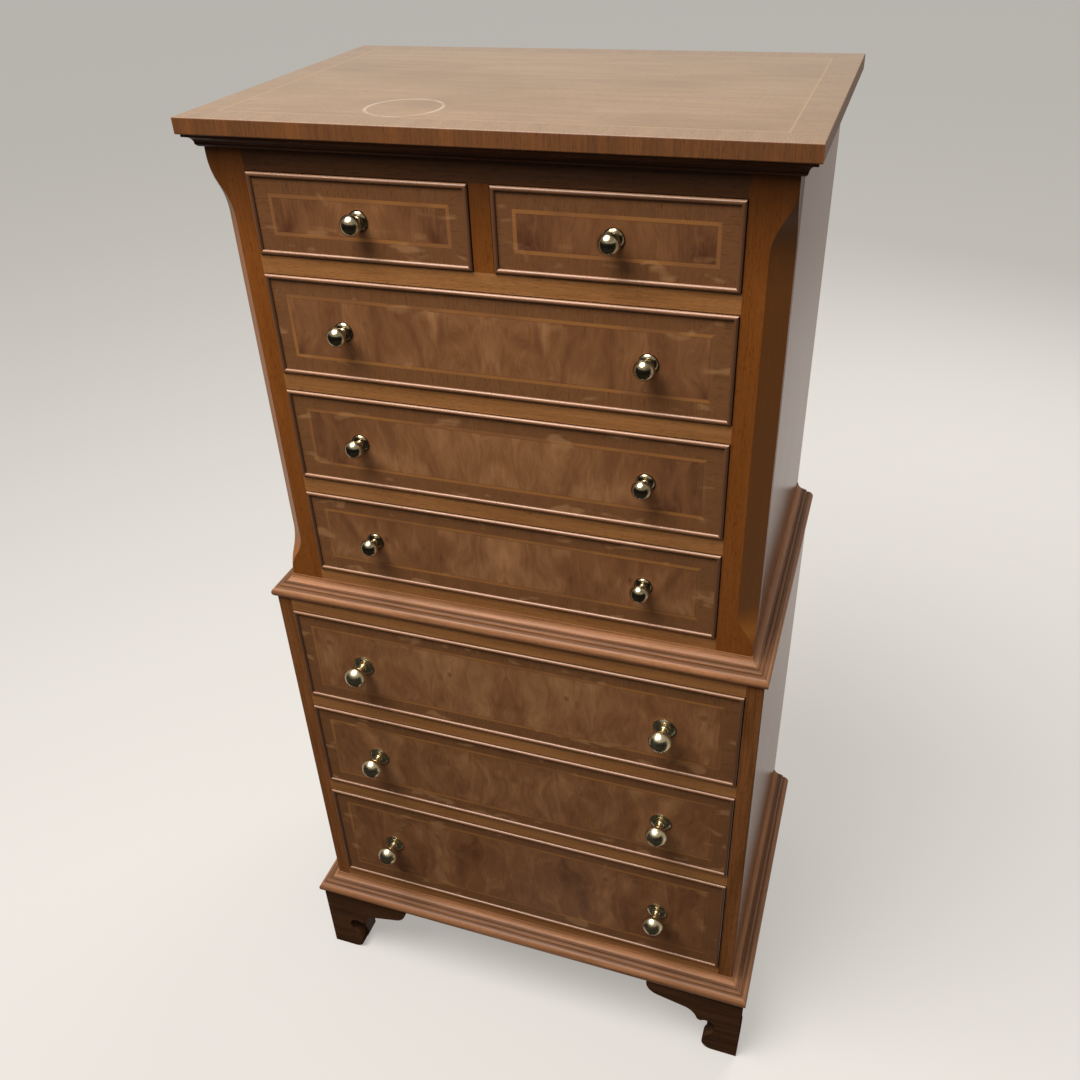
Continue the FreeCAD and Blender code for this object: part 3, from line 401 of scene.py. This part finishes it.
def drawer_veneer(drawer, seed):
    """Book-matched figured walnut on a drawer front, inside feather banding and a mitred crossband. The
    leaves are palest along their joint, and the lowest and highest drawers are painted a little darker:
    painted shade standing in for the dimmer light near the floor and under the cornice.
    Veneers are sanded flush and polished, so only colour and sheen tell them apart."""
    veneers, colours = bpy.context.scene.chest_veneers, bpy.context.scene.chest_colours
    material, add, shader = new_material(f"figured_walnut_veneer_{drawer}")
    low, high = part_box(f"{drawer}_cock_bead")
    middle, half = (low + high) / 2, (high - low) / 2
    point, x, y, z = point_on_piece(add)
    across, up, from_side, from_end, standing = place_on_front(add, x, z, low, high)
    mirrored = add("Math ABSOLUTE", across)
    edge = add("Math MINIMUM", from_side, from_end)

    # Painted shade: drawers low down and near the cornice are painted darker, standing in for the dimmer
    # light there.
    shade_near_floor = 0.2 * max(0.0, 0.55 - middle.z)
    shade_near_cornice = 0.4 * max(0.0, middle.z - 0.9)
    painted_drawer_shade = shade_near_floor + shade_near_cornice
    joint_lift, end_lift = (0.045, 0.02) if drawer.startswith("lower") else (0.07, -0.075)
    lift = add("MapRange", mirrored, 0.0, half.x, joint_lift - painted_drawer_shade, end_lift - painted_drawer_shade)
    field, field_height, clouds = figured(add, add("CombineXYZ", mirrored, y, up), seed, lift)

    band, band_height, _ = fibres(add, turn_grain(add, point, "Y", standing), "Z", "band", seed + 4, 1.9)
    if drawer.startswith("short"):
        band = add("Mix RGBA", 0.15, band, colours.figured_dark)

    line_start = veneers.crossband
    line_end = line_start + veneers.feather
    feather_pitch = 2.6 * MM
    run = add("Mix FLOAT", standing, x, z)
    from_middle = add("Math ABSOLUTE", add("Math SUBTRACT", edge, line_start + veneers.feather / 2))
    slant = add("Math FRACT", add("Math DIVIDE", add("Math ADD", run, from_middle), feather_pitch))
    worn = pattern(add, point, "X", 60, 60, (seed, 2, 3), 2, 0.5)
    feather = add("Mix RGBA", add("Math MULTIPLY", slant, 0.7), colours.feather_light, colours.feather_dark)
    far_side = add("Math MULTIPLY", standing, add("Math GREATER_THAN", across, 0.0))
    fading = 0.2 if drawer.startswith("short") else 0.75
    feather = add("Mix RGBA", add("Math MULTIPLY", far_side, fading), feather, colours.band_dark)
    feather = add("Mix RGBA", add("MapRange", worn, 0.45, 0.6, 0.0, 0.8), feather, colours.figured_mid)

    inside = add("Math GREATER_THAN", edge, line_end)
    shade = add("Mix RGBA", add("Math GREATER_THAN", edge, line_start), band, feather)
    shade = add("Mix RGBA", inside, shade, field)
    joint_width = 0.35 * MM
    joint = add("Math LESS_THAN", add("Math ABSOLUTE", add("Math SUBTRACT", edge, line_end)), joint_width)
    shade = add("Mix RGBA", add("Math MULTIPLY", joint, 0.45), shade, colours.figured_dark)

    rub_reach = 12 * MM
    rub = pattern(add, point, "X", 34, 15, (seed * 2, 9, seed), 2, 0.45, 0.3)
    rubbed = add("Math MULTIPLY", add("MapRange", rub, 0.61, 0.71, interpolation_type="SMOOTHSTEP"),
                 add("MapRange", edge, line_end + rub_reach, line_start))
    shade = add("Mix RGBA", add("Math MULTIPLY", rubbed, 0.35), shade, colours.rubbed)
    height = add("Mix RGBA", inside, band_height, field_height)
    finish_wood(add, shader, shade, height, clouds, rough=0.42)
    return material


def top_veneer():
    """The top: walnut veneer inside an inlaid line and a mitred crossband, under a thick glossy lacquer
    that mirrors the room at a low angle and has been rubbed off the arris. A damp glass has left a pale
    ring in it. The edge of the board is lipped with cross-grained veneer."""
    veneers, colours = bpy.context.scene.chest_veneers, bpy.context.scene.chest_colours
    material, add, shader = new_material("lacquered_walnut_top")
    low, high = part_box("top_board")
    point, x, y, z = point_on_piece(add)
    from_side = add("Math SUBTRACT", (high.x - low.x) / 2, add("Math ABSOLUTE", x))
    from_end = add("Math MINIMUM", add("Math SUBTRACT", y, low.y), add("Math SUBTRACT", high.y, y))
    edge = add("Math MINIMUM", from_side, from_end)
    standing = add("Math LESS_THAN", from_side, from_end)
    field, height, _ = fibres(add, point, "X", "top", 3, 1.3)
    clouds = pattern(add, point, "X", 170, 105, (2, 5, 0), 3, 0.5, 0.5)
    field = add("Mix RGBA", add("MapRange", clouds, 0.42, 0.68, 0.0, 0.4), field, colours.top_cloud)
    band = fibres(add, turn_grain(add, point, "Z", standing), "Y", "top", 7, 1.3)[0]
    band = add("Mix RGBA", 0.2, band, colours.top_cloud)
    inside = add("Math GREATER_THAN", edge, veneers.top_crossband + veneers.top_line)
    in_line = add("Math GREATER_THAN", edge, veneers.top_crossband)
    shade = add("Mix RGBA", in_line, band, colours.top_line)
    shade = add("Mix RGBA", inside, shade, field)

    ring_centre, ring_radius, ring_width = Vector((-87 * MM, -103 * MM, high.z)), 35 * MM, 2.2 * MM
    span = add("VectorMath DISTANCE", point, ring_centre)
    off_ring = add("Math ABSOLUTE", add("Math SUBTRACT", span, ring_radius))
    patchy = pattern(add, point, "X", 30, 30, detail=2, roughness=0.5)
    ring = add("Math MULTIPLY", add("MapRange", off_ring, ring_width, ring_width * 0.3),
               add("MapRange", patchy, 0.35, 0.6, 0.3, 1.0))
    shade = add("Mix RGBA", add("Math MULTIPLY", ring, 0.22), shade, paint("#E8DCCB"))

    upward = facing(add)[2]
    lip_point = add("CombineXYZ", add("Math ADD", x, y), 0.0, z)
    lip = fibres(add, lip_point, "Z", "lipping", 11, 1.1)[0]
    shade = add("Mix RGBA", add("Math GREATER_THAN", upward, 0.7), lip, shade)
    finish_wood(add, shader, shade, height, patchy, rough=0.14, specular=0.5, relief=0.05)
    lacquer_left, lacquer_gone, bare = 0.995, 0.95, 0.5
    rubbed = add("MapRange", upward, lacquer_left, lacquer_gone, 0.0, bare)
    gloss = shader.inputs["Roughness"].links[0].from_socket
    fill(shader, {"Roughness": add("Math MAXIMUM", gloss, rubbed)})
    return material


def bead_walnut(drawer, seed):
    """Solid walnut strips, rounded with a scratch stock and polished brighter than the veneer they guard.
    Painted shade darkens their foot, where they meet the veneer, and their upright strips."""
    colours = bpy.context.scene.chest_colours
    material, add, shader = new_material(f"polished_walnut_bead_{drawer}")
    low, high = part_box(f"{drawer}_cock_bead")
    point, x, y, z = point_on_piece(add)
    standing = place_on_front(add, x, z, low, high)[-1]
    shade, height, tone = fibres(add, turn_grain(add, point, "Y", standing), "X", "bead", seed)
    # Painted highlight on the beads' upper faces.
    shade = paint_top_highlight(add, shade, 0.7)
    # Painted shade: the upright strips are painted darker than the level ones.
    shade = add("Mix RGBA", add("Math MULTIPLY", standing, 0.75), shade, colours.bead_dark)
    # Painted shade at the foot of the bead, in the crease where it meets the veneer.
    foot_top, foot_end = low.y + 1.1 * MM, low.y + 2.2 * MM
    shade = add("Mix RGBA", add("MapRange", y, foot_top, foot_end, 0.0, 0.85), shade, colours.quirk)
    finish_wood(add, shader, shade, height, tone, rough=0.36, specular=0.35, coat=0.2, coat_rough=0.22,
                relief=0.12)
    return material


def aged_brass(name, tarnish, smooth, dull):
    """Turned brass under old lacquer: bright where hands rub it, with a brown bloom in the hollows. Its
    roughness runs from smooth to dull."""
    colours = bpy.context.scene.chest_colours
    material, add, shader = new_material(name)
    bloom = pattern(add, point_on_piece(add)[0], "X", 7, 7, detail=4, roughness=0.6)
    bloomed = add("MapRange", bloom, 0.4, 0.7, 0.4 * tarnish, tarnish)
    fill(shader, {"Base Color": add("Mix RGBA", bloomed, colours.brass, colours.brass_aged),
                  "Metallic": 1.0, "Roughness": add("MapRange", bloom, 0.3, 0.7, smooth, dull)})
    return material


def bright_steel():
    """Plated steel of small screws and pins: grey, with fine scuffs."""
    material, add, shader = new_material("plated_steel")
    smooth, scuffed = 0.25, 0.45
    scuffs = pattern(add, point_on_piece(add)[0], "X", 2, 0.5, detail=3, roughness=0.6)
    fill(shader, {"Base Color": bpy.context.scene.chest_colours.steel, "Metallic": 1.0,
                  "Roughness": add("MapRange", scuffs, 0.3, 0.7, smooth, scuffed)})
    return material


def pinned_plywood(name, node, seed):
    """Plywood back: rotary-cut birch stained to match, with steel pins driven flush along its edges."""
    material, add, shader = new_material(name)
    low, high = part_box(node)
    half = (high - low) / 2
    inset, pin_radius, gaps = 4.5 * MM, 1.1 * MM, 4
    point, x, _, z = point_on_piece(add)
    across, up = (add("Math ABSOLUTE", term) for term in place_on_front(add, x, z, low, high)[:2])
    spans = []
    for beside, run, room, length in ((across, up, half.x, half.z), (up, across, half.z, half.x)):
        pitch = (length - inset) / gaps
        off_line = add("Math SUBTRACT", beside, room - inset)
        off_pin = add("Math PINGPONG", run, pitch / 2)
        spans.append(add("VectorMath LENGTH", add("CombineXYZ", off_line, off_pin)))
    pin = add("Math LESS_THAN", add("Math MINIMUM", *spans), pin_radius)
    shade, height, dullness = fibres(add, point, "Z", "ply", seed, 0.8)
    shade = add("Mix RGBA", pin, shade, bpy.context.scene.chest_colours.steel)
    finish_wood(add, shader, shade, height, dullness, rough=0.6, relief=0.4)
    fill(shader, {"Metallic": pin})
    return material


def plain_timber(name, along, wood, seed):
    """Unpolished board, planed and left bare: open fibres and no shine."""
    return straight_walnut(name, along, wood, seed, rough=0.62, relief=0.5)


# ---- pieces --------------------------------------------------------------------------------------

def dress(material, *names):
    """Give CAD nodes a finish."""
    for name in names:
        for slot in frame["nodes"][name].material_slots:
            slot.material = material


def mitre_of(node, case_node):
    """Half width and front plane of the case that a moulding is mitred round."""
    low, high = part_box(node)
    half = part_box(case_node)[1].x
    return half, low.y + (high.x - half)


class CHEST_OT_top_board(bpy.types.Operator):
    """Lacquered walnut top with crossband and inlaid line"""
    bl_idname = "chest.top_board"
    bl_label = "Top board"

    def execute(self, context):
        dress(top_veneer(), "top_board")
        return {"FINISHED"}


class CHEST_OT_case_sides(bpy.types.Operator):
    """Side boards, veneered with the grain upright"""
    bl_idname = "chest.case_sides"
    bl_label = "Case sides"

    def execute(self, context):
        for seed, hand in enumerate(("left", "right")):
            material = straight_walnut(f"side_walnut_veneer_{hand}", "Z", "side", seed + 2, rough=0.19,
                                       specular=0.03, relief=0.01, patches=0.2)
            dress(material, f"upper_side_{hand}", f"lower_side_{hand}")
        return {"FINISHED"}


class CHEST_OT_front_framing(bpy.types.Operator):
    """Rails with the grain along them, posts and divider with the grain upright"""
    bl_idname = "chest.front_framing"
    bl_label = "Front framing"

    def execute(self, context):
        rails = rail_walnut("rail_walnut_veneer", 5)
        # Painted light and shade on the posts and divider: their cants are painted paler, and they are
        # painted darker up the divider's height, standing in for the shadow under the cornice.
        posts = straight_walnut("post_walnut_veneer", "Z", "post", 6, contrast=1.6, specular=0.1,
                                cant_light=context.scene.chest_colours.painted_cant_light,
                                cornice_shade_heights=[height.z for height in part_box("short_drawer_divider")])
        dress(rails, "upper_front_rails", "lower_front_rails", "lower_top_board")
        dress(posts, "canted_post_left", "canted_post_right", "short_drawer_divider")
        return {"FINISHED"}


class CHEST_OT_mouldings(bpy.types.Operator):
    """Cornice, waist and base mouldings of solid walnut, mitred at the corners"""
    bl_idname = "chest.mouldings"
    bl_label = "Mouldings"

    def execute(self, context):
        # The case each goes round, its wood, its painted highlight on upward faces, and its quirks' heights
        # in mm above its foot, where painted shade is laid. The cornice's wood is painted darker as shade.
        kinds = {"cornice": ("upper_side_right", "cornice", 0.0, (3.0, 3.6)),
                 "waist": ("upper_side_right", "moulding", 0.25, (11.3, 14.1, 15.0)),
                 "base": ("lower_side_right", "moulding", 0.25, (15.1, 18.6, 19.5))}
        for seed, (kind, (case_node, wood, worn, heights)) in enumerate(kinds.items()):
            node = f"{kind}_moulding"
            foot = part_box(node)[0].z
            quirks = [foot + height * MM for height in heights]
            material = straight_walnut(f"{kind}_moulding_walnut", "X", wood, seed + 8,
                                       mitre_of(node, case_node), worn=worn, quirks=quirks, rough=0.42,
                                       specular=0.14)
            dress(material, node)
        return {"FINISHED"}


class CHEST_OT_feet(bpy.types.Operator):
    """Bracket feet, darker than the cases, with the grain level"""
    bl_idname = "chest.feet"
    bl_label = "Bracket feet"

    def execute(self, context):
        for end in ("front", "back"):
            node = f"{end}_foot_right"
            low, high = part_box(node)
            front = low.y if end == "front" else high.y - (high.x - low.x)
            material = straight_walnut(f"{end}_foot_walnut", "X", "foot", 12, (high.x, front), rough=0.45,
                                       specular=0.0)
            dress(material, node, f"{end}_foot_left")
        return {"FINISHED"}


class CHEST_OT_drawer_fronts(bpy.types.Operator):
    """Figured veneer of the eight drawer fronts, each book-matched about its own middle"""
    bl_idname = "chest.drawer_fronts"
    bl_label = "Drawer fronts"

    def execute(self, context):
        for seed, drawer in enumerate(DRAWERS):
            dress(drawer_veneer(drawer, seed * 1.9 + 1), f"{drawer}_front")
        return {"FINISHED"}


class CHEST_OT_cock_beads(bpy.types.Operator):
    """Cock beads round the drawer fronts"""
    bl_idname = "chest.cock_beads"
    bl_label = "Cock beads"

    def execute(self, context):
        for seed, drawer in enumerate(DRAWERS):
            dress(bead_walnut(drawer, seed + 3), f"{drawer}_cock_bead")
        return {"FINISHED"}


class CHEST_OT_drawer_boxes(bpy.types.Operator):
    """Oak sides and backs of the drawers, and their bottoms"""
    bl_idname = "chest.drawer_boxes"
    bl_label = "Drawer boxes"

    def execute(self, context):
        dress(plain_timber("planed_oak", "Y", "oak", 15), *[f"{drawer}_box" for drawer in DRAWERS])
        return {"FINISHED"}


class CHEST_OT_knobs(bpy.types.Operator):
    """Turned brass knobs and their bolts"""
    bl_idname = "chest.knobs"
    bl_label = "Knobs"

    def execute(self, context):
        dull = aged_brass("aged_brass", tarnish=0.85, smooth=0.12, dull=0.26)
        bright = aged_brass("rubbed_brass", tarnish=0.25, smooth=0.2, dull=0.34)
        for drawer in DRAWERS:
            dress(bright if drawer.startswith("lower") else dull, f"{drawer}_knobs")
        return {"FINISHED"}


class CHEST_OT_inner_timber(bpy.types.Operator):
    """Softwood inside the cases, and plywood backs and bottoms"""
    bl_idname = "chest.inner_timber"
    bl_label = "Inner timber"

    def execute(self, context):
        dress(plain_timber("planed_pine_runners", "Y", "pine", 17),
              "upper_runners_and_stops", "lower_runners_and_stops")
        dress(plain_timber("planed_pine_rails", "X", "pine", 18), "upper_top_rails", "bottom_battens")
        # Stain and painted shade on the glue blocks.
        dress(plain_timber("stained_pine_blocks", "Z", "block", 19), "glue_blocks")
        dress(plain_timber("birch_plywood", "X", "ply", 20), "upper_bottom_board", "lower_bottom_board")
        for seed, case in enumerate(("upper", "lower")):
            node = f"{case}_back_panel"
            dress(pinned_plywood(f"pinned_plywood_{case}", node, 21 + seed), node)
        return {"FINISHED"}


class CHEST_OT_screws(bpy.types.Operator):
    """Steel screws that hold the top and join the cases"""
    bl_idname = "chest.screws"
    bl_label = "Screws"

    def execute(self, context):
        dress(bright_steel(), "case_screws")
        return {"FINISHED"}


# ---- studio --------------------------------------------------------------------------------------

def is_seen(add):
    """1 for what the eye meets straight, in a polished face or through glass, and 0 for the light on
    things."""
    path = add("LightPath", output=None)
    mirrored = add("Math MAXIMUM", path["Is Glossy Ray"], path["Is Transmission Ray"])
    return add("Math MAXIMUM", path["Is Camera Ray"], mirrored)


def pale_floor(colours, studio):
    """Matt studio floor, evened by a faint glow of its own, so that it keeps the chest's shadow and is as
    pale far off as near by."""
    material, add, shader = new_material("matt_floor")
    seen = is_seen(add)
    fill(shader, {"Base Color": add("Mix RGBA", seen, colours.floor_bounce, colours.floor),
                  "Roughness": 0.9, "Specular IOR Level": 0.1})
    glow = add("Emission", colours.floor, studio.floor_glow)
    evened = add("MixShader", add("Math MULTIPLY", seen, studio.floor_evenness), shader.outputs[0], glow)
    fill(material.node_tree.nodes["Material Output"], {"Surface": evened})
    return material


def light_room(scene, level, backdrop):
    """A pale room to the eye and in reflections, and an even soft light on everything."""
    world = bpy.data.worlds.new("studio_room")
    scene.world = world
    world.use_nodes = True
    world.node_tree.nodes.clear()
    add = partial(add_node, world.node_tree)
    even = add("Background", (1, 1, 1, 1), level)
    pale = add("Background", backdrop, 1.0)
    add("OutputWorld", add("MixShader", is_seen(add), even, pale), output=None)


def hang_lamp(scene, name, width, power, towards):
    """A round soft lamp, aimed at the middle of the drawers from the offset that is given."""
    lamp = bpy.data.lights.new(name, "AREA")
    lamp.shape, lamp.size, lamp.energy = "DISK", width, power
    hung = bpy.data.objects.new(name, lamp)
    middle_of_drawers = Vector((0, CAD_BOX[0].y, CAD_BOX[1].z * 0.6))
    hung.location = middle_of_drawers + towards
    hung.rotation_euler = towards.to_track_quat("Z", "Y").to_euler()
    scene.collection.objects.link(hung)
    return hung


def dark_screen(scene):
    """A dark cloth on the floor in front of the chest that rises into a curved screen. Only polished faces
    mirror it, and it gives them contrast."""
    mesh = bpy.data.meshes.new("dark_screen")
    shape = bmesh.new()
    set_back = 0.05
    centre = Vector((0, CAD_BOX[0].y + set_back, 0))
    cloth, curve, top = 0.003, 0.1, 2.1
    cloth_start, cloth_end, screen_radius = 0.14, 3.1, 3.2
    turn_start, turn, steps = math.radians(-175), math.radians(160), 32
    section = [shape.verts.new(Matrix.Rotation(turn_start, 3, "Z") @ Vector((radius, 0, height)) + centre)
               for radius, height in ((cloth_start, cloth), (cloth_end, cloth), (screen_radius, curve),
                                      (screen_radius, top))]
    edges = [shape.edges.new(pair) for pair in zip(section, section[1:])]
    bmesh.ops.spin(shape, geom=section + edges, cent=centre, axis=(0, 0, 1), angle=turn, steps=steps,
                   use_merge=False)
    shape.to_mesh(mesh)
    shape.free()
    material, _, shader = new_material("dark_cloth")
    fill(shader, {"Base Color": scene.chest_colours.screen, "Roughness": 0.95})
    mesh.materials.append(material)
    screen = bpy.data.objects.new("dark_screen", mesh)
    screen.visible_camera = screen.visible_diffuse = screen.visible_shadow = False
    scene.collection.objects.link(screen)


class CHEST_OT_stage(bpy.types.Operator):
    """Floor, lamps and camera"""
    bl_idname = "chest.stage"
    bl_label = "Studio"

    def execute(self, context):
        scene = context.scene
        studio, colours = scene.chest_studio, scene.chest_colours
        floor_radius, floor_segments = 30, 96
        mesh = bpy.data.meshes.new("floor")
        shape = bmesh.new()
        bmesh.ops.create_circle(shape, cap_ends=True, radius=floor_radius, segments=floor_segments)
        shape.to_mesh(mesh)
        shape.free()
        mesh.materials.append(pale_floor(colours, studio))
        floor = bpy.data.objects.new("floor", mesh)
        scene.collection.objects.link(floor)

        key_width, key_offset = 1.7, Vector((-0.6, -0.75, 2.2))
        back_width, back_offset = 1.6, Vector((0.9, 2.3, 1.2))
        light_room(scene, studio.fill_level, colours.backdrop)
        hang_lamp(scene, "overhead_lamp", key_width, studio.key_power, key_offset)
        soft = hang_lamp(scene, "back_lamp", back_width, studio.back_power, back_offset)
        soft.visible_glossy = False
        dark_screen(scene)

        lens = bpy.data.cameras.new("camera")
        lens.sensor_width = 36
        lens.lens = studio.focal_length
        camera = bpy.data.objects.new("camera", lens)
        heading = Euler((0, 0, -studio.heading)).to_matrix()
        tilt = Euler((math.pi / 2 + studio.tilt, 0, 0)).to_matrix()
        roll = Euler((0, 0, studio.roll)).to_matrix()
        camera.matrix_world = Matrix.Translation(studio.place) @ (heading @ tilt @ roll).to_4x4()
        scene.collection.objects.link(camera)
        scene.camera = camera
        scene.view_settings.view_transform = "Standard"
        return {"FINISHED"}


# ---- panel and run -------------------------------------------------------------------------------

PIECES = (
    CHEST_OT_top_board, CHEST_OT_case_sides, CHEST_OT_front_framing, CHEST_OT_mouldings, CHEST_OT_feet,
    CHEST_OT_drawer_fronts, CHEST_OT_cock_beads, CHEST_OT_drawer_boxes, CHEST_OT_knobs,
    CHEST_OT_inner_timber, CHEST_OT_screws, CHEST_OT_stage,
)


class CHEST_PT_panel(bpy.types.Panel):
    """The chest's settings and pieces"""
    bl_label = "Chest on chest"
    bl_idname = "CHEST_PT_panel"
    bl_space_type = "VIEW_3D"
    bl_region_type = "UI"
    bl_category = "Chest"

    def draw(self, context):
        layout = self.layout
        for group in (context.scene.chest_veneers, context.scene.chest_colours, context.scene.chest_studio):
            box = layout.box()
            for name in group.__annotations__:
                box.prop(group, name)
        for piece in PIECES:
            layout.operator(piece.bl_idname)


GROUPS = {"chest_veneers": ChestVeneers, "chest_colours": ChestColours, "chest_studio": ChestStudio}


def register():
    for made in (*GROUPS.values(), *PIECES, CHEST_PT_panel):
        bpy.utils.register_class(made)
    for name, group in GROUPS.items():
        setattr(bpy.types.Scene, name, PointerProperty(type=group))


def unregister():
    for name in GROUPS:
        delattr(bpy.types.Scene, name)
    for made in reversed((*GROUPS.values(), *PIECES, CHEST_PT_panel)):
        bpy.utils.unregister_class(made)


def main():
    register()
    for piece in PIECES:
        family, name = piece.bl_idname.split(".")
        getattr(getattr(bpy.ops, family), name)()


if __name__ == "__main__":
    main()
